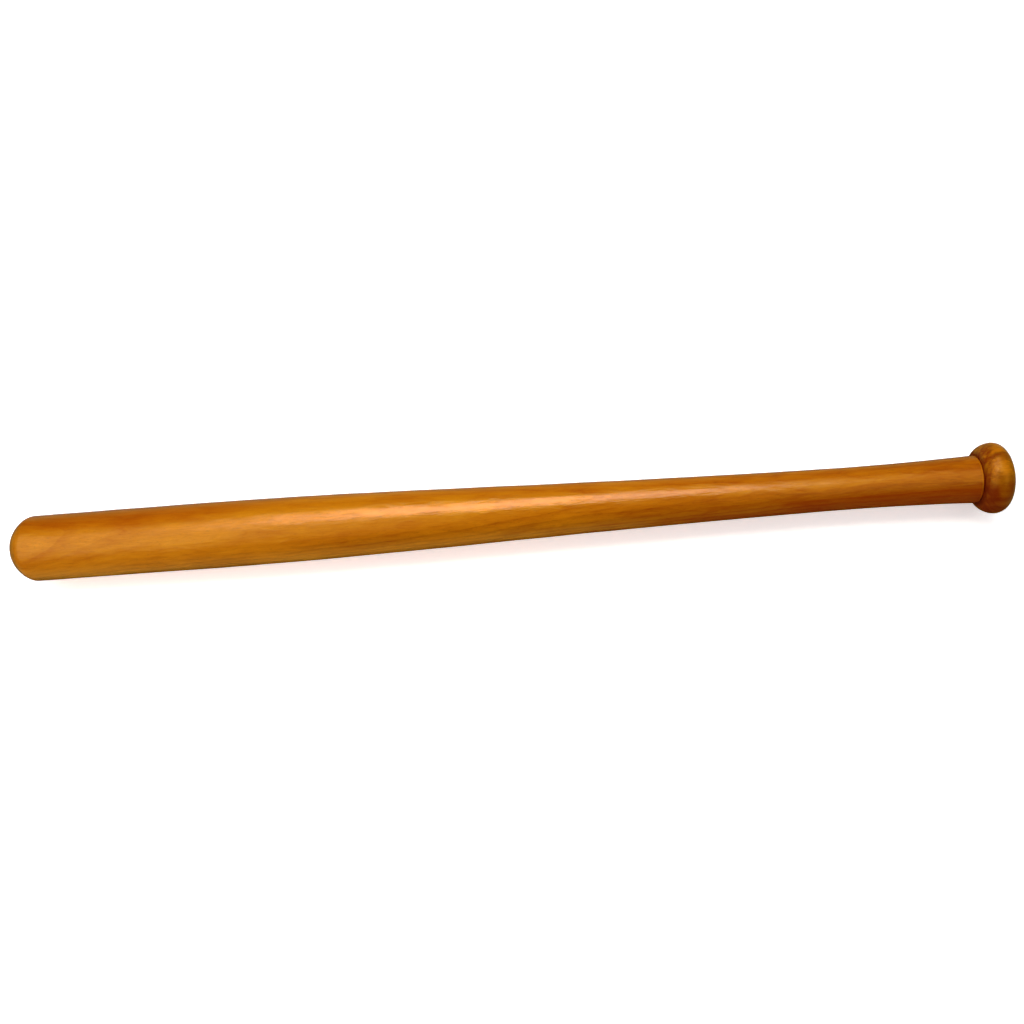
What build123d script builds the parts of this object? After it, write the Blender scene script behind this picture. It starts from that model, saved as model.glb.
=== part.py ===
"""Turned wooden baseball bat with a separately turned knob, glued on over a fluted dowel.

The bat lies along X, barrel end towards -X and knob towards +X, on the plane Z = 0.
The origin is under the middle of its length. All sizes are in millimetres.
"""

import os
from math import hypot

from build123d import *

# Overall: barrel and knob are turned from stock of one size, so they have one diameter.
LENGTH = 805.0
STOCK_RADIUS = 27.5
BARREL_END = -LENGTH / 2
KNOB_END = LENGTH / 2

# Barrel: a full rounded end, then a parallel stretch.
DOME_DEPTH = 20.0
DOME_CORNER_RADIUS = 11.0
DOME_START = BARREL_END + DOME_DEPTH
PARALLEL_LENGTH = 120.0
TAPER_START = DOME_START + PARALLEL_LENGTH

# Handle: slimmest near the knob, then flaring out a little to its end.
HANDLE_RADIUS = 16.65
HANDLE_SLIMMEST = KNOB_END - 122.0
HANDLE_END_RADIUS = 18.6
HANDLE_END_SLOPE = 0.05
HANDLE_EDGE_RADIUS = 0.8

# The taper between barrel and handle: (share of the way, share of the narrowing).
TAPER_STATIONS = ((0.28, 0.15), (0.57, 0.565), (0.86, 0.91))

# Knob: a bun with a round shoulder towards the handle and a low crown outside.
KNOB_LENGTH = 22.5
KNOB_SEAT = KNOB_END - KNOB_LENGTH
KNOB_SEAT_RADIUS = 19.4
KNOB_CROWN_DEPTH = 10.0
KNOB_CORNER_RADIUS = 8.7

# Dowel joint: a standard fluted pin with a glue gap round it and at both ends.
DOWEL_RADIUS = 7.0
DOWEL_LENGTH = 40.0
DOWEL_CHAMFER = 1.0
DOWEL_IN_KNOB = 14.0
FLUTE_COUNT = 20
FLUTE_RADIUS = 0.6
GLUE_GAP = 0.05
BORE_END_GAP = 1.0
BORE_RADIUS = DOWEL_RADIUS + GLUE_GAP


def crown(widest_x, depth, corner_radius, way):
    """Two tangent arcs that close a turned end, from its widest point to its tip on the axis.

    way is -1 for a tip towards -X and +1 for one towards +X.
    """
    inner = STOCK_RADIUS - corner_radius
    crown_radius = (depth**2 + inner**2 - corner_radius**2) / (2 * (depth - corner_radius))
    centre = depth - crown_radius
    reach = crown_radius / hypot(centre, inner) - 1
    widest = (widest_x, STOCK_RADIUS)
    meeting = (widest_x - way * centre * reach, inner + inner * reach)
    tip = (widest_x + way * depth, 0)
    corner = TangentArc(widest, meeting, tangent=(way, 0))
    return [corner, TangentArc(meeting, tip, tangent=corner % 1)]


def turn(edges):
    """The solid that a closed outline above the X axis sweeps, lifted so that it lies on Z = 0."""
    outline = Plane.XZ.location * make_face(edges)
    return Pos(0, 0, STOCK_RADIUS) * revolve(outline, Axis.X)


def rod(x_from, x_to, radius):
    """A cylinder on the bat's axis between two stations."""
    cylinder = Cylinder(radius, x_to - x_from, align=(Align.CENTER, Align.CENTER, Align.MIN))
    return Pos(x_from, 0, STOCK_RADIUS) * Rot(0, 90, 0) * cylinder


def make_barrel_and_handle():
    """Barrel and handle, turned from one length of wood and bored for the dowel."""
    run = HANDLE_SLIMMEST - TAPER_START
    narrowing = STOCK_RADIUS - HANDLE_RADIUS
    edge = (KNOB_SEAT - HANDLE_EDGE_RADIUS, HANDLE_END_RADIUS)
    face_radius = HANDLE_END_RADIUS - HANDLE_EDGE_RADIUS
    taper = Spline(
        (TAPER_START, STOCK_RADIUS),
        *[(TAPER_START + way * run, STOCK_RADIUS - share * narrowing) for way, share in TAPER_STATIONS],
        (HANDLE_SLIMMEST, HANDLE_RADIUS),
        edge,
        tangents=((1, 0), (1, HANDLE_END_SLOPE)),
    )
    outline = [
        *crown(DOME_START, DOME_DEPTH, DOME_CORNER_RADIUS, -1),
        Line((DOME_START, STOCK_RADIUS), (TAPER_START, STOCK_RADIUS)),
        taper,
        TangentArc(edge, (KNOB_SEAT, face_radius), tangent=taper % 1),
        Line((KNOB_SEAT, face_radius), (KNOB_SEAT, 0)),
        Line((KNOB_SEAT, 0), (BARREL_END, 0)),
    ]
    bore_start = KNOB_SEAT + DOWEL_IN_KNOB - DOWEL_LENGTH - BORE_END_GAP
    return turn(outline) - rod(bore_start, KNOB_SEAT, BORE_RADIUS)


def make_knob():
    """The knob: a flat seat against the handle, a round shoulder and a low crowned end."""
    widest = (KNOB_END - KNOB_CROWN_DEPTH, STOCK_RADIUS)
    seat_rim = (KNOB_SEAT, KNOB_SEAT_RADIUS)
    outline = [
        Line((KNOB_SEAT, 0), seat_rim),
        TangentArc(widest, seat_rim, tangent=(-1, 0)),
        *crown(widest[0], KNOB_CROWN_DEPTH, KNOB_CORNER_RADIUS, 1),
        Line((KNOB_END, 0), (KNOB_SEAT, 0)),
    ]
    bore_end = KNOB_SEAT + DOWEL_IN_KNOB + BORE_END_GAP
    return turn(outline) - rod(KNOB_SEAT, bore_end, BORE_RADIUS)


def make_dowel():
    """A fluted dowel with chamfered ends, standing in both bores."""
    end = KNOB_SEAT + DOWEL_IN_KNOB
    start = end - DOWEL_LENGTH
    plain = rod(start, end, DOWEL_RADIUS)
    dowel = chamfer(plain.edges().filter_by(GeomType.CIRCLE), DOWEL_CHAMFER)
    for flute in range(FLUTE_COUNT):
        turned = Rot(flute * 360 / FLUTE_COUNT, 0, 0) * Pos(0, 0, DOWEL_RADIUS)
        groove = turned * Pos(0, 0, -STOCK_RADIUS) * rod(start - 1, end + 1, FLUTE_RADIUS)
        dowel -= Pos(0, 0, STOCK_RADIUS) * groove
    return dowel


def main():
    os.makedirs("parts", exist_ok=True)
    export_step(make_barrel_and_handle(), "parts/barrel_and_handle.step")
    export_step(make_knob(), "parts/knob.step")
    export_step(make_dowel(), "parts/dowel_pin.step")


main()
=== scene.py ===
"""A turned beech baseball bat under amber varnish, lying on a pale floor in soft studio light.

The bat's axis runs along X at the height of its radius, barrel end towards -X and knob towards +X.
Sizes in the geometry are in millimetres and are turned into metres where a mesh is made.
"""

import math

import bpy
import numpy as np
from mathutils import Matrix, Vector, noise


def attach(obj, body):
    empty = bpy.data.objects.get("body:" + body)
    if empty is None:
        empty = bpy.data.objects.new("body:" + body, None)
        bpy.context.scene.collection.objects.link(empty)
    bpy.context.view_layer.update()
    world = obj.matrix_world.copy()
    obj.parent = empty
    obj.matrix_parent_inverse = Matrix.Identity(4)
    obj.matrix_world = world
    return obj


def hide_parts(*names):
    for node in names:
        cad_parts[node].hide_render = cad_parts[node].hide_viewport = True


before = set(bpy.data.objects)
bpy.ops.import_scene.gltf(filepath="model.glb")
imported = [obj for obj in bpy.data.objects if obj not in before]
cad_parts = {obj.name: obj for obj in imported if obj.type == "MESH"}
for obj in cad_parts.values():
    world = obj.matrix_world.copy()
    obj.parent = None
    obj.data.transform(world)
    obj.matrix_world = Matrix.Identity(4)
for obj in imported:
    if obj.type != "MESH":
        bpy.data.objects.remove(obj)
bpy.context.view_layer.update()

MM = 0.001

# The turned outline, as in the CAD, but for the handle's edge, which the varnish rounds more.
LENGTH = 805.0
STOCK_RADIUS = 27.5
BARREL_END = -LENGTH / 2
KNOB_END = LENGTH / 2
DOME_DEPTH = 20.0
DOME_CORNER_RADIUS = 11.0
DOME_START = BARREL_END + DOME_DEPTH
TAPER_START = DOME_START + 120.0
HANDLE_RADIUS = 16.65
HANDLE_SLIMMEST = KNOB_END - 122.0
HANDLE_END_RADIUS = 18.6
HANDLE_END_SLOPE = 0.05
HANDLE_EDGE_RADIUS = 1.5
TAPER_STATIONS = ((0.28, 0.15), (0.57, 0.565), (0.86, 0.91))
KNOB_SEAT = KNOB_END - 22.5
HANDLE_EDGE = KNOB_SEAT - HANDLE_EDGE_RADIUS
KNOB_SEAT_RADIUS = 19.4
KNOB_CROWN_DEPTH = 10.0
KNOB_CORNER_RADIUS = 8.7
BORE_RADIUS = 7.05
BORE_IN_HANDLE = 27.0
BORE_IN_KNOB = 15.0

# How finely the surfaces are divided: round the bat, along it, and over each rounded part.
SEGMENTS = 192
RING_STEP = 2.2
DOME_RINGS = 26
EDGE_RINGS = 6
SHOULDER_RINGS = 24
CROWN_RINGS = 20
SMALLEST_RING = 1e-6

# Edges that turn by more than this are drawn sharp.
SHARP_ANGLE = math.radians(32)

# Sanding takes about SANDED off the outline, so that few of the ripples it leaves stand above it,
# and none outside the CAD's box. The bores, and the middle of each end out to BORE_MARGIN beyond
# their radius, stay true.
SANDED = 0.1
BORE_MARGIN = 1.0

# The wood: its rings' pitch and wander, and how far the grain swells at the barrel's end.
RING_PITCH = 3.1
RING_DRIFT = 9.0
SWELL_START = BARREL_END + 120
SWELL = 7.5


# ---------------------------------------------------------------- outline


def crown(depth, corner_radius, steps):
    """A turned end as (distance inwards from its tip, radius), from the tip to its widest point."""
    inner = STOCK_RADIUS - corner_radius
    crown_radius = (depth**2 + inner**2 - corner_radius**2) / (2 * (depth - corner_radius))
    centre = depth - crown_radius
    meeting = math.atan2(inner, -centre)
    corner_turn = math.pi / 2 - meeting
    points = []
    for i in range(steps + 1):
        turn = meeting * i / steps
        points.append((crown_radius * (1 - math.cos(turn)), crown_radius * math.sin(turn)))
    for i in range(1, steps // 2 + 1):
        turn = meeting + corner_turn * i / (steps // 2)
        points.append((depth - corner_radius * math.cos(turn), inner + corner_radius * math.sin(turn)))
    return points


def spline_radii(stations, radii, first_slope, last_slope, at):
    """The smooth cubic through the stations, with the slope given at each end, at the places asked."""
    gaps = np.diff(stations)
    rises = np.diff(radii) / gaps
    count = len(stations)
    system = np.zeros((count, count))
    wanted = np.zeros(count)
    system[0, 0] = system[-1, -1] = 1
    wanted[0], wanted[-1] = first_slope, last_slope
    for i in range(1, count - 1):
        system[i, i - 1 : i + 2] = 1 / gaps[i - 1], 2 / gaps[i - 1] + 2 / gaps[i], 1 / gaps[i]
        wanted[i] = 3 * (rises[i - 1] / gaps[i - 1] + rises[i] / gaps[i])
    slopes = np.linalg.solve(system, wanted)
    k = np.clip(np.searchsorted(stations, at, side="right") - 1, 0, count - 2)
    t = (at - stations[k]) / gaps[k]
    return (
        (1 + 2 * t) * (1 - t) ** 2 * radii[k]
        + t * (1 - t) ** 2 * gaps[k] * slopes[k]
        + t**2 * (3 - 2 * t) * radii[k + 1]
        + t**2 * (t - 1) * gaps[k] * slopes[k + 1]
    )


def ring_places(start, end):
    """Places about RING_STEP apart, after the start and up to the end."""
    rings = round((end - start) / RING_STEP)
    return np.linspace(start, end, rings + 1)[1:]


def taper_and_handle():
    """(x, radius) along the taper and the slim handle, up to where its end is rounded."""
    run = HANDLE_SLIMMEST - TAPER_START
    narrowing = STOCK_RADIUS - HANDLE_RADIUS
    stations = [TAPER_START]
    radii = [STOCK_RADIUS]
    for way, share in TAPER_STATIONS:
        stations.append(TAPER_START + way * run)
        radii.append(STOCK_RADIUS - share * narrowing)
    stations += [HANDLE_SLIMMEST, HANDLE_EDGE]
    radii += [HANDLE_RADIUS, HANDLE_END_RADIUS]
    along = ring_places(TAPER_START, HANDLE_EDGE)
    tapered = spline_radii(np.array(stations), np.array(radii), 0.0, HANDLE_END_SLOPE, along)
    return list(zip(along, tapered))


def handle_edge():
    """(x, radius) round the handle's end edge, from its side to its end face."""
    points = []
    for i in range(1, EDGE_RINGS + 1):
        turn = math.pi / 2 * i / EDGE_RINGS
        drop = HANDLE_EDGE_RADIUS * (1 - math.cos(turn))
        points.append((HANDLE_EDGE + HANDLE_EDGE_RADIUS * math.sin(turn), HANDLE_END_RADIUS - drop))
    return points


def barrel_and_handle_outline():
    """(x, radius) from the barrel's tip along the outside to the bore's bottom in the handle's end."""
    dome = crown(DOME_DEPTH, DOME_CORNER_RADIUS, DOME_RINGS)
    outline = [(BARREL_END + inwards, radius) for inwards, radius in dome]
    outline += [(x, STOCK_RADIUS) for x in ring_places(DOME_START, TAPER_START)]
    outline += taper_and_handle()
    outline += handle_edge()
    bore_bottom = KNOB_SEAT - BORE_IN_HANDLE
    outline += [(KNOB_SEAT, BORE_RADIUS), (bore_bottom, BORE_RADIUS), (bore_bottom, 0)]
    return outline


def knob_outline():
    """(x, radius) from the bottom of the knob's bore, over its seat and shoulder, to its tip."""
    bore_bottom = KNOB_SEAT + BORE_IN_KNOB
    outline = [(bore_bottom, 0), (bore_bottom, BORE_RADIUS), (KNOB_SEAT, BORE_RADIUS)]
    widest_x = KNOB_END - KNOB_CROWN_DEPTH
    reach = widest_x - KNOB_SEAT
    drop = STOCK_RADIUS - KNOB_SEAT_RADIUS
    shoulder_radius = (reach**2 + drop**2) / (2 * drop)
    sweep = math.asin(reach / shoulder_radius)
    for i in range(SHOULDER_RINGS + 1):
        turn = sweep * (1 - i / SHOULDER_RINGS)
        drop = shoulder_radius * (1 - math.cos(turn))
        outline.append((widest_x - shoulder_radius * math.sin(turn), STOCK_RADIUS - drop))
    end = crown(KNOB_CROWN_DEPTH, KNOB_CORNER_RADIUS, CROWN_RINGS)
    outline += [(KNOB_END - inwards, radius) for inwards, radius in end[-2::-1]]
    return outline


# ---------------------------------------------------------------- pieces


def surface_noise(x, y, z, along, across, shift=0):
    """Noise from -1 to 1, its ripples that long along the bat and that wide across it, in mm."""
    return noise.noise(Vector((x / along + shift, y / across, z / across)))


def ring_points(x, radius, waviness):
    """The points of one ring round the bat's axis, or the one point of a ring with no radius."""
    if radius < SMALLEST_RING:
        return [(x * MM, 0, STOCK_RADIUS * MM)]
    points = []
    for i in range(SEGMENTS):
        turn = 2 * math.pi * i / SEGMENTS
        y, z = math.cos(turn), math.sin(turn)
        soft = surface_noise(x, y * radius, z * radius, 40, 13)
        grain = surface_noise(x, y * radius, z * radius, 18, 4, shift=50)
        wave = (waviness * (0.6 * soft + 0.4 * grain) - SANDED) * min(1, radius / STOCK_RADIUS)
        outer = radius + wave * (radius > BORE_RADIUS + BORE_MARGIN)
        points.append((x * MM, y * outer * MM, (STOCK_RADIUS + z * outer) * MM))
    return points


def ring_faces(a, b):
    """The faces between two rings of vertex numbers, of which one may be a single point."""
    faces = []
    for i in range(SEGMENTS):
        j = (i + 1) % SEGMENTS
        if len(a) == 1:
            faces.append((a[0], b[j], b[i]))
        elif len(b) == 1:
            faces.append((a[i], a[j], b[0]))
        else:
            faces.append((a[i], a[j], b[j], b[i]))
    return faces


def lathe(name, outline, waviness):
    """A closed mesh that the outline sweeps round the bat's axis, faintly wavy from hand sanding."""
    vertices, faces, rings = [], [], []
    for x, radius in outline:
        points = ring_points(x, radius, waviness)
        rings.append(list(range(len(vertices), len(vertices) + len(points))))
        vertices += points
    for a, b in zip(rings, rings[1:]):
        faces += ring_faces(a, b)
    mesh = bpy.data.meshes.new(name)
    mesh.from_pydata(vertices, [], faces)
    mesh.validate()
    for polygon in mesh.polygons:
        polygon.use_smooth = True
    mesh.set_sharp_from_angle(angle=SHARP_ANGLE)
    piece = bpy.data.objects.new(name, mesh)
    bpy.context.scene.collection.objects.link(piece)
    return piece


# ---------------------------------------------------------------- materials


class Tree:
    """A material's node tree, with short calls for the nodes that it needs."""

    def __init__(self, name):
        self.material = bpy.data.materials.new(name)
        self.material.use_nodes = True
        self.tree = self.material.node_tree
        self.tree.nodes.clear()

    def node(self, kind, inputs=None, **settings):
        made = self.tree.nodes.new(kind)
        for key, value in settings.items():
            setattr(made, key, value)
        for key, value in (inputs or {}).items():
            self.put(made.inputs[key], value)
        return made

    def put(self, socket, value):
        if isinstance(value, bpy.types.NodeSocket):
            self.tree.links.new(value, socket)
        else:
            socket.default_value = value

    def math(self, operation, *values, clamp=False):
        made = self.node("ShaderNodeMath", operation=operation, use_clamp=clamp)
        for socket, value in zip(made.inputs, values):
            self.put(socket, value)
        return made.outputs[0]

    def remap(self, value, low, high, to_low=0.0, to_high=1.0):
        """The value eased from to_low at low to to_high at high; low may be the larger."""
        made = self.node("ShaderNodeMapRange", interpolation_type="SMOOTHSTEP")
        names = ("Value", "From Min", "From Max", "To Min", "To Max")
        for key, item in zip(names, (value, low, high, to_low, to_high)):
            self.put(made.inputs[key], item)
        return made.outputs[0]

    def vector(self, x, y, z):
        return self.node("ShaderNodeCombineXYZ", {"X": x, "Y": y, "Z": z}).outputs[0]

    def noise(self, where, scale, detail, roughness=0.5, distortion=0.0):
        inputs = {"Vector": where, "Scale": scale, "Detail": detail}
        inputs |= {"Roughness": roughness, "Distortion": distortion}
        return self.node("ShaderNodeTexNoise", inputs).outputs["Fac"]

    def mix(self, share, first, second):
        made = self.node("ShaderNodeMix", data_type="RGBA")
        self.put(made.inputs["Factor"], share)
        self.put(made.inputs["A"], first)
        self.put(made.inputs["B"], second)
        return made.outputs["Result"]


def srgb(red, green, blue):
    """A colour given as 0 to 255 screen values, as linear values."""
    linear = []
    for value in (red, green, blue):
        value /= 255
        linear.append(value / 12.92 if value <= 0.04045 else ((value + 0.055) / 1.055) ** 2.4)
    return (*linear, 1.0)


class Beech(Tree):
    """Beech as a solid block: growth rings round an off-axis pith, with rays and fibres, all in mm.

    pith is where the tree's centre lies across the bat, lean is how far the grain runs out along it,
    and seed picks the piece of wood.
    """

    def __init__(self, name, pith, lean, seed):
        super().__init__(name)
        place = self.node("ShaderNodeTexCoord").outputs["Object"]
        split = self.node("ShaderNodeSeparateXYZ", {"Vector": place}).outputs
        self.seed = seed
        self.x = self.math("MULTIPLY", split["X"], 1 / MM)
        self.far = self.math("MULTIPLY", split["Y"], 1 / MM)
        up = self.math("MULTIPLY_ADD", split["Z"], 1 / MM, -STOCK_RADIUS)
        swell = self.remap(self.x, SWELL_START, BARREL_END, 0.0, SWELL)
        self.y = self.math("MULTIPLY_ADD", self.x, lean[0], self.math("SUBTRACT", self.far, pith[0]))
        leaning = self.math("MULTIPLY_ADD", self.x, lean[1], self.math("SUBTRACT", up, pith[1]))
        self.z = self.math("ADD", leaning, swell)

    def grain(self, along, across, detail, roughness, distortion=0.0, offset=0.0):
        """Noise whose features are that long along the grain and that wide across it."""
        place = self.vector(
            self.math("MULTIPLY", self.x, 1 / along),
            self.math("MULTIPLY", self.y, 1 / across),
            self.math("MULTIPLY_ADD", self.z, 1 / across, self.seed + offset),
        )
        return self.noise(place, 1.0, detail, roughness, distortion)

    def rings(self):
        """Pale early wood that darkens to a late edge, more in some years than in others."""
        from_pith = self.math("SQRT", self.math("ADD", self.square(self.y), self.square(self.z)))
        drift = self.math("SUBTRACT", self.grain(150, 40, 2.0, 0.5), 0.5)
        wandering = self.math("MULTIPLY_ADD", drift, RING_DRIFT, from_pith)
        years = self.math("MULTIPLY", wandering, 1 / RING_PITCH)
        share = self.math("FRACT", years)
        late = self.math("MULTIPLY", self.remap(share, 0.35, 0.93), self.remap(share, 1.0, 0.95))
        year = self.vector(self.math("FLOOR", years), self.seed, 0.0)
        strength = self.remap(self.noise(year, 1.7, 0.0), 0.3, 0.7, 0.25, 1.0)
        return self.math("MULTIPLY", late, strength)

    def rays(self):
        """Short dashes along the grain, as the rays look where they reach the surface."""
        return self.remap(self.grain(3.6, 0.8, 1.0, 0.4), 0.58, 0.76)

    def square(self, value):
        return self.math("MULTIPLY", value, value)

    def vary(self, tone, pattern, strength):
        """The tone with the pattern, which runs from 0 to 1, added about its middle."""
        return self.math("MULTIPLY_ADD", self.math("SUBTRACT", pattern, 0.5), strength, tone)

    def tint(self, colour, where, strength, towards):
        """The colour, drawn towards another by that strength where the pattern is 1."""
        return self.mix(self.math("MULTIPLY", where, strength), colour, towards)

    def bump(self, height, distance):
        inputs = {"Strength": 0.8, "Distance": distance, "Height": height}
        return self.node("ShaderNodeBump", inputs).outputs[0]

    def shade(self, **inputs):
        """Ends the tree with a shader that has those inputs, and gives the material."""
        named = {key.replace("_", " "): value for key, value in inputs.items()}
        shader = self.node("ShaderNodeBsdfPrincipled", named)
        out = self.node("ShaderNodeOutputMaterial")
        self.tree.links.new(shader.outputs[0], out.inputs["Surface"])
        return self.material


def stain(t, fine, streaks, clouds, blotches):
    """How dark the stain is: it took unevenly and grows darker towards the knob; the knob's crown is
    painted paler, painted light for the light falling on its end.
    """
    # The wood grows darker from the barrel's middle towards the knob.
    towards_knob = t.remap(t.x, -100.0, KNOB_SEAT, 0.0, 0.42)
    # Painted light: the knob's crown is made paler towards its end, where light falls on it.
    painted_crown_light = t.remap(t.x, KNOB_SEAT + 5, KNOB_SEAT + 13, 0.0, 0.45)
    tone = t.vary(0.3, streaks, 0.9)
    tone = t.vary(tone, clouds, blotches)
    tone = t.vary(tone, fine, 0.6)
    tone = t.math("ADD", tone, t.math("SUBTRACT", towards_knob, painted_crown_light))
    return t.math("MULTIPLY_ADD", t.rings(), 0.26, tone, clamp=True)


def red_barrel_side_and_handle_shade(t, clouds):
    """Darker, redder wood along the far side of the barrel, and painted shade along the near side of
    the handle and the knob.
    """
    wander = t.math("MULTIPLY_ADD", clouds, 18.0, t.far)
    on_barrel = t.math("MULTIPLY", t.remap(wander, 10.0, 24.0), t.remap(t.x, -130.0, -280.0))
    # Painted shade: the near side of the handle and knob is tinted darker and redder.
    painted_near_shade = t.math("MULTIPLY", t.remap(wander, 6.0, -4.0), t.remap(t.x, 20.0, 330.0))
    return t.math("ADD", on_barrel, painted_near_shade)


def painted_edge_highlight(t):
    """A thin pale ring painted on the handle's edge: a painted highlight where the rounded edge
    catches the light.
    """
    return t.remap(t.math("ABSOLUTE", t.math("SUBTRACT", t.x, KNOB_SEAT - 1.2)), 1.1, 0.5)


def painted_seam_shade(t):
    """Painted shade in the seam just beyond the handle's edge, darkened as a recess is shaded."""
    past_edge = t.remap(t.x, KNOB_SEAT - 0.3, KNOB_SEAT)
    return t.math("MULTIPLY", past_edge, t.remap(t.x, KNOB_SEAT + 2, KNOB_SEAT))


def varnished_beech(name, tones, block, blotches, blotch_size, coat, coat_roughness):
    """Stained beech under amber varnish; tones are its light, dark, red and deep colours."""
    light, dark, red, deep = tones
    t = Beech(name, **block)
    rays = t.rays()
    fine = t.grain(11, 1.1, 3.0, 0.6, 0.4)
    streaks = t.grain(24, 4.5, 3.0, 0.6, 1.2)
    clouds = t.grain(*blotch_size, 3.0, 0.5, 0.6, offset=t.seed)

    colour = t.mix(stain(t, fine, streaks, clouds, blotches), light, dark)
    colour = t.tint(colour, rays, 0.16, deep)
    # Painted shade along the near side of the handle and knob, with the far side of the barrel tinted
    # redder.
    colour = t.tint(colour, red_barrel_side_and_handle_shade(t, clouds), 0.5, red)
    # Painted highlight: a pale ring on the handle's edge.
    colour = t.tint(colour, painted_edge_highlight(t), 0.4, light)
    # Painted shade: the seam next to the knob is darkened towards the deep colour.
    colour = t.tint(colour, painted_seam_shade(t), 0.5, deep)

    # Varnish: a little dulled where the wood is open, with the grain telegraphing through.
    relief = t.math("MULTIPLY_ADD", rays, -0.2, t.math("MULTIPLY_ADD", fine, 0.35, streaks))
    ripple = t.math("MULTIPLY_ADD", fine, 0.8, streaks)
    return t.shade(
        Base_Color=colour,
        Roughness=t.math("MULTIPLY_ADD", rays, 0.08, t.math("MULTIPLY_ADD", fine, 0.12, 0.24)),
        Normal=t.bump(relief, 0.00012),
        IOR=1.7,
        Specular_Tint=(1.0, 0.42, 0.06, 1.0),
        Coat_Weight=coat,
        Coat_Roughness=coat_roughness,
        Coat_IOR=1.6,
        Coat_Normal=t.bump(ripple, 0.0004),
    )


def raw_beech():
    """Bare beech for the dowel, dry and pale, with glue soaked in where the two bores meet."""
    t = Beech("raw_beech", pith=(25, 31), lean=(0.01, 0.02), seed=5.1)
    rays = t.rays()
    fine = t.grain(9, 0.7, 3.0, 0.6, 0.4)
    streaks = t.grain(20, 2.5, 3.0, 0.6, 1.0)
    tone = t.vary(t.vary(0.35, streaks, 0.9), fine, 0.8)
    tone = t.math("MULTIPLY_ADD", t.rings(), 0.35, tone, clamp=True)
    colour = t.mix(tone, srgb(226, 197, 158), srgb(198, 158, 115))
    colour = t.tint(colour, rays, 0.4, srgb(150, 104, 66))
    glue = t.remap(t.math("ABSOLUTE", t.math("SUBTRACT", t.x, KNOB_SEAT)), 4.0, 1.0)
    colour = t.tint(colour, glue, 0.4, srgb(168, 124, 72))
    return t.shade(
        Base_Color=colour,
        Roughness=t.math("MULTIPLY_ADD", glue, -0.2, t.math("MULTIPLY_ADD", fine, 0.25, 0.5)),
        Normal=t.bump(t.math("MULTIPLY_ADD", rays, -0.3, fine), 0.0002),
    )


# How far from the origin, in metres, the floor is fully lit, and where the light has run out.
LIT_REACH = 0.42
UNLIT_REACH = 1.1


def floor_paper():
    """White paper that glows, and more so beyond the light's reach, where it would turn grey."""
    t = Tree("floor_paper")
    place = t.node("ShaderNodeTexCoord").outputs["Object"]
    away = t.node("ShaderNodeVectorMath", {"Vector": place}, operation="LENGTH").outputs["Value"]
    shader = t.node(
        "ShaderNodeBsdfPrincipled",
        {
            "Base Color": (0.72, 0.73, 0.74, 1),
            "Roughness": 0.8,
            "Emission Color": (1, 1, 1, 1),
            "Emission Strength": t.remap(away, LIT_REACH, UNLIT_REACH, 0.6, 1.0),
        },
    )
    out = t.node("ShaderNodeOutputMaterial")
    t.tree.links.new(shader.outputs[0], out.inputs["Surface"])
    return t.material


# ---------------------------------------------------------------- camera

# The view is from above, tilted a little towards the near side. The camera is at CAMERA_REACH from
# the bat's axis, over CAMERA_X, and is turned towards the barrel end and rolled.
VIEW_HEIGHT = math.radians(75)
CAMERA_X = 75.8
CAMERA_REACH = 735.5
CAMERA_TURN = math.radians(4.47)
CAMERA_ROLL = math.radians(4.215)
LENS_MM = 32.1047
SENSOR_MM = 36
LENS_SHIFT = 0.0012


def around_axis(angle, x, reach):
    """A point at that reach from the bat's axis, at that angle up from the near horizontal."""
    return Vector((x, -reach * math.cos(angle), STOCK_RADIUS + reach * math.sin(angle))) * MM


def make_camera():
    data = bpy.data.cameras.new("camera")
    data.lens = LENS_MM
    data.sensor_width = SENSOR_MM
    data.shift_y = LENS_SHIFT
    data.clip_end = 100
    camera = bpy.data.objects.new("camera", data)
    bpy.context.scene.collection.objects.link(camera)
    eye = around_axis(VIEW_HEIGHT, CAMERA_X, CAMERA_REACH)
    along = Vector((1, 0, 0))
    straight = around_axis(VIEW_HEIGHT, CAMERA_X, 0) - eye
    straight.normalize()
    forward = straight * math.cos(CAMERA_TURN) - along * math.sin(CAMERA_TURN)
    right = along * math.cos(CAMERA_TURN) + straight * math.sin(CAMERA_TURN)
    up = right.cross(forward)
    facing = Matrix((right, up, -forward)).transposed()
    roll = Matrix.Rotation(-CAMERA_ROLL, 4, "Z")
    camera.matrix_world = Matrix.Translation(eye) @ facing.to_4x4() @ roll
    bpy.context.scene.camera = camera


# ---------------------------------------------------------------- light and floor

# The key light comes through a faintly green diffuser, which keeps the gloss peach, not pink.
DIFFUSER = (0.95, 1.03, 0.97)

# The room's own glow, and that of the backdrop, which only the camera sees.
ROOM_GLOW = 0.03
BACKDROP_GLOW = 1.0

# Half of the floor's width, in metres.
FLOOR_REACH = 30


def make_panel(name, place, target, width, height, radiance, mirrored=True, colour=(1, 1, 1)):
    """A soft rectangular light facing the target, its width and height in metres.

    mirrored says whether the varnish reflects it as a highlight.
    """
    data = bpy.data.lights.new(name, "AREA")
    data.shape = "RECTANGLE"
    data.size, data.size_y = width, height
    data.energy = radiance * width * height * math.pi
    data.color = colour
    light = bpy.data.objects.new(name, data)
    bpy.context.scene.collection.objects.link(light)
    back = (place - target).normalized()
    level = Vector((0, 1, 0)) if abs(back.x) > 0.9 else Vector((1, 0, 0))
    side = level - back * back.dot(level)
    side.normalize()
    facing = Matrix((side, back.cross(side), back)).transposed()
    light.matrix_world = Matrix.Translation(place) @ facing.to_4x4()
    light.visible_glossy = mirrored
    light.visible_camera = False


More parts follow.
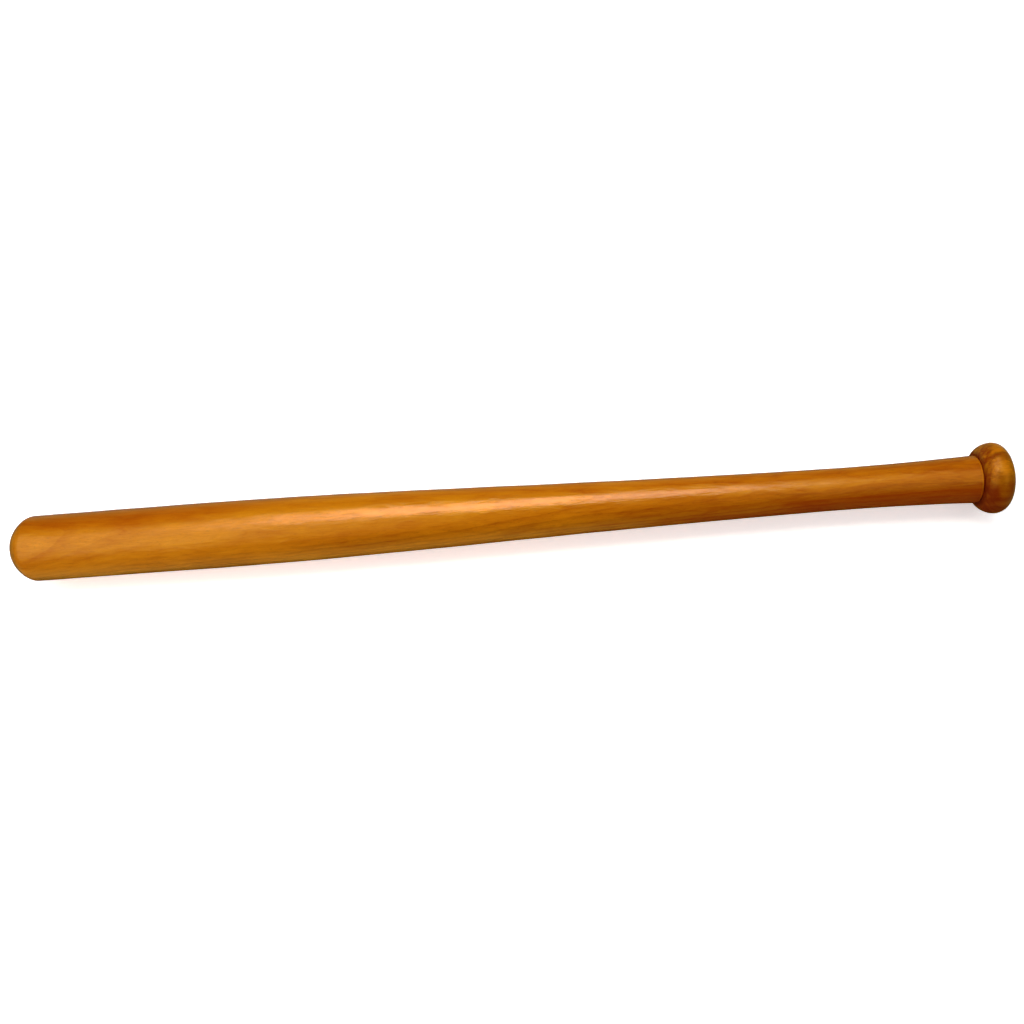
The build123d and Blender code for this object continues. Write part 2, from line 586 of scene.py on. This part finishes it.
def make_light():
    """A softbox with a bright core, dim cards that the bat mirrors, fills, and floor reflectors."""

    def at(angle, x, reach):
        """A point that many degrees beyond the view's direction, towards the far side."""
        return around_axis(VIEW_HEIGHT + math.radians(angle), x, reach)

    def axis(x):
        return around_axis(0, x, 0)

    # Each has its place, the point it faces, its width and height in metres, and its radiance.
    make_panel("key_softbox", at(40, -20, 1000), axis(-20), 1.12, 0.66, 2.75, colour=DIFFUSER)
    make_panel("key_core", at(40, 50, 995), axis(30), 0.68, 0.66, 1.7, colour=DIFFUSER)
    make_panel("left_card", at(5, -880, 950), axis(-300), 0.75, 1.6, 1.4)
    make_panel("left_end_card", at(5, -1560, 800), axis(-380), 0.7, 1.4, 0.6)
    make_panel("middle_card", at(5, -300, 1000), axis(-100), 0.4, 1.2, 0.84)
    make_panel("right_card", at(12, 760, 1000), axis(280), 0.6, 1.4, 0.74)
    wall = Vector((-1.5, 0, 0.7))
    make_panel("left_wall", wall, axis(-300), 1.8, 1.3, 0.4, mirrored=False)
    wall = Vector((1.5, 0, 0.7))
    make_panel("right_wall", wall, axis(300), 1.8, 1.3, 0.7, mirrored=False)
    near_left = around_axis(math.radians(20), -900, 1200)
    make_panel("near_left_fill", near_left, axis(-360), 0.8, 0.8, 2.1, mirrored=False)
    far_right = around_axis(math.radians(150), 400, 1200)
    make_panel("far_right_fill", far_right, axis(160), 0.8, 0.8, 1.3, mirrored=False)

    for name, x, y, width, depth, radiance in (
        ("near_reflector", -0.22, -0.17, 0.70, 0.26, 0.22),
        ("far_reflector", 0.02, 0.17, 1.0, 0.26, 0.24),
        ("left_reflector", -0.57, 0.0, 0.28, 0.34, 0.12),
        ("right_reflector", 0.57, 0.0, 0.28, 0.34, 0.2),
    ):
        place = Vector((x, y, 0.003))
        make_panel(name, place, place + Vector((0, 0, 1)), width, depth, radiance)


def make_world():
    """A dim room for the light, and a white backdrop that only the camera sees."""
    world = bpy.data.worlds.new("studio")
    world.use_nodes = True
    tree = world.node_tree
    tree.nodes.clear()
    ray = tree.nodes.new("ShaderNodeLightPath")
    mix = tree.nodes.new("ShaderNodeMixShader")
    out = tree.nodes.new("ShaderNodeOutputWorld")
    tree.links.new(ray.outputs["Is Camera Ray"], mix.inputs[0])
    for socket, strength in ((mix.inputs[1], ROOM_GLOW), (mix.inputs[2], BACKDROP_GLOW)):
        white = tree.nodes.new("ShaderNodeBackground")
        white.inputs["Color"].default_value = (1, 1, 1, 1)
        white.inputs["Strength"].default_value = strength
        tree.links.new(white.outputs[0], socket)
    tree.links.new(mix.outputs[0], out.inputs["Surface"])
    bpy.context.scene.world = world


def make_floor():
    mesh = bpy.data.meshes.new("floor")
    corners = [(x * FLOOR_REACH, y * FLOOR_REACH, 0) for x, y in ((-1, -1), (1, -1), (1, 1), (-1, 1))]
    mesh.from_pydata(corners, [], [(0, 1, 2, 3)])
    floor = bpy.data.objects.new("floor", mesh)
    bpy.context.scene.collection.objects.link(floor)
    mesh.materials.append(floor_paper())
    floor.visible_glossy = False


# ---------------------------------------------------------------- assembly


def add_turned(name, outline, waviness, node, material):
    """A turned piece in that material, which stands for the CAD node and hides it."""
    piece = lathe(name, outline, waviness)
    piece.data.materials.append(material)
    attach(piece, "root")
    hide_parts(node)


def add_bat():
    wood = varnished_beech(
        "varnished_beech",
        tones=(srgb(211, 139, 34), srgb(173, 91, 9), srgb(168, 76, 4), srgb(96, 42, 6)),
        block={"pith": (-4, -58), "lean": (0.012, -0.012), "seed": 3.7},
        blotches=1.0,
        blotch_size=(60, 18),
        coat=1.0,
        coat_roughness=0.19,
    )
    add_turned(
        "turned_barrel_and_handle",
        barrel_and_handle_outline(),
        waviness=0.32,
        node="barrel_and_handle",
        material=wood,
    )


def add_knob():
    wood = varnished_beech(
        "varnished_beech_knob",
        tones=(srgb(206, 133, 20), srgb(138, 64, 6), srgb(130, 62, 6), srgb(74, 28, 5)),
        block={"pith": (44, -30), "lean": (0.05, 0.06), "seed": 79.9},
        blotches=1.7,
        blotch_size=(14, 9),
        coat=0.55,
        coat_roughness=0.28,
    )
    add_turned(
        "turned_knob",
        knob_outline(),
        waviness=0.25,
        node="knob",
        material=wood,
    )


def finish_dowel():
    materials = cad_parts["dowel_pin"].data.materials
    materials.clear()
    materials.append(raw_beech())


def develop():
    """The picture's tone curve: a little more contrast, with the blue of the shadows held down."""
    view = bpy.context.scene.view_settings
    view.view_transform = "Standard"
    view.use_curve_mapping = True
    _, _, blue, combined = view.curve_mapping.curves
    for curve, points in (
        (blue, ((0.03, 0.024), (0.08, 0.055), (0.28, 0.28))),
        (combined, ((0.05, 0.014), (0.15, 0.089), (0.4, 0.285), (0.55, 0.45), (0.8, 0.67))),
    ):
        for x, y in points:
            curve.points.new(x, y)
    view.curve_mapping.update()


make_camera()
add_bat()
add_knob()
finish_dowel()
make_light()
make_world()
make_floor()
develop()
